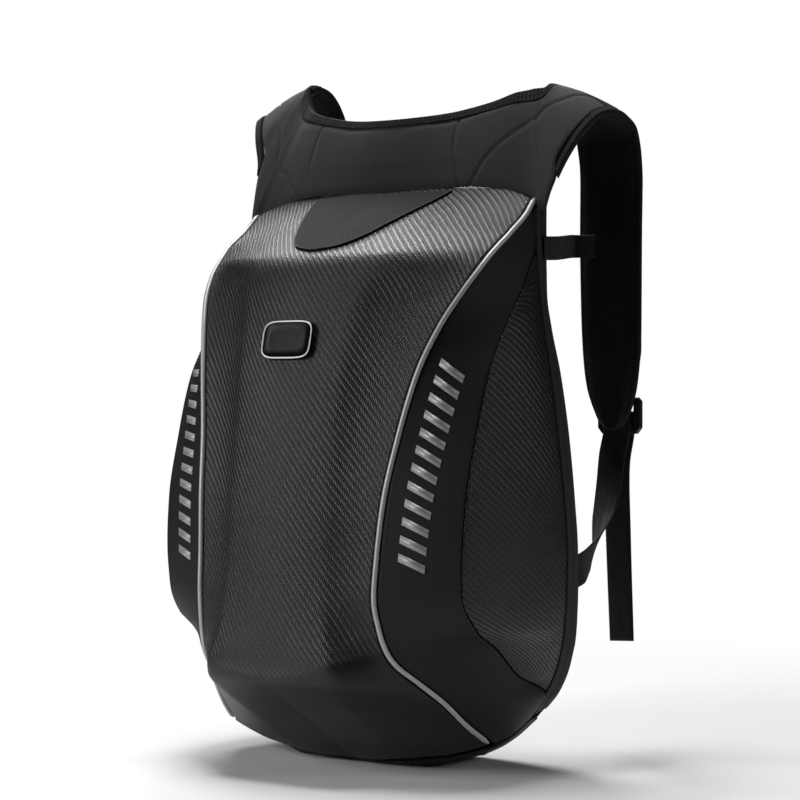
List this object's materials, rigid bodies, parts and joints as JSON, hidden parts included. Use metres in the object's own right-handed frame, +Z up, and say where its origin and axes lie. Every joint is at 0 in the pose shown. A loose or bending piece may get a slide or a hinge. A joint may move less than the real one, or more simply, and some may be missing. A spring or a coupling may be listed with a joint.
{
  "type": "hard shell backpack",
  "caption": "Backpack with a moulded carbon-look shell, sloping ribbed top deck, reflective piping, crowned side panels and a padded collar that runs into the straps.",
  "frame": {"origin": "middle of the bounding box, on the floor", "axes": "+Z up, front of the shell towards -Y, X across the width"},
  "size_m": [0.3552, 0.2926, 0.565],
  "materials": {
    "carbon": "satin film with a woven twill look over a moulded shell",
    "band": "smooth coated cloth, matte",
    "reflective": "silver-grey reflective piping",
    "ribbed": "fine ribbed cloth",
    "neoprene": "matte padded cloth",
    "binding": "ribbed binding tape",
    "padding": "black spacer mesh over foam",
    "webbing": "woven webbing",
    "plastic": "moulded, satin",
    "plate": "gloss black"
  },
  "bodies": {
    "root": {"adjuster_loop_left": "webbing", "adjuster_loop_right": "webbing", "armhole_binding_left": "binding", "armhole_binding_right": "binding", "back_panel": "padding", "badge": "plate", "base_panel": "band", "edge_binding_left": "binding", "edge_binding_right": "binding", "front_shell": "carbon", "ladder_lock_left": "plastic", "ladder_lock_right": "plastic", "load_lifter_left": "webbing", "load_lifter_right": "webbing", "lower_webbing_left": "webbing", "lower_webbing_right": "webbing", "neck_binding": "binding", "piping_left": "reflective", "piping_right": "reflective", "shoulder_strap_left": "padding", "shoulder_strap_right": "padding", "side_band_left": "band", "side_band_right": "band", "side_panel_left": "carbon", "side_panel_right": "carbon", "top_insert": "ribbed", "top_panel": "ribbed", "webbing_tail_left": "webbing", "webbing_tail_right": "webbing", "yoke": "neoprene"}
  },
  "joints": []
}
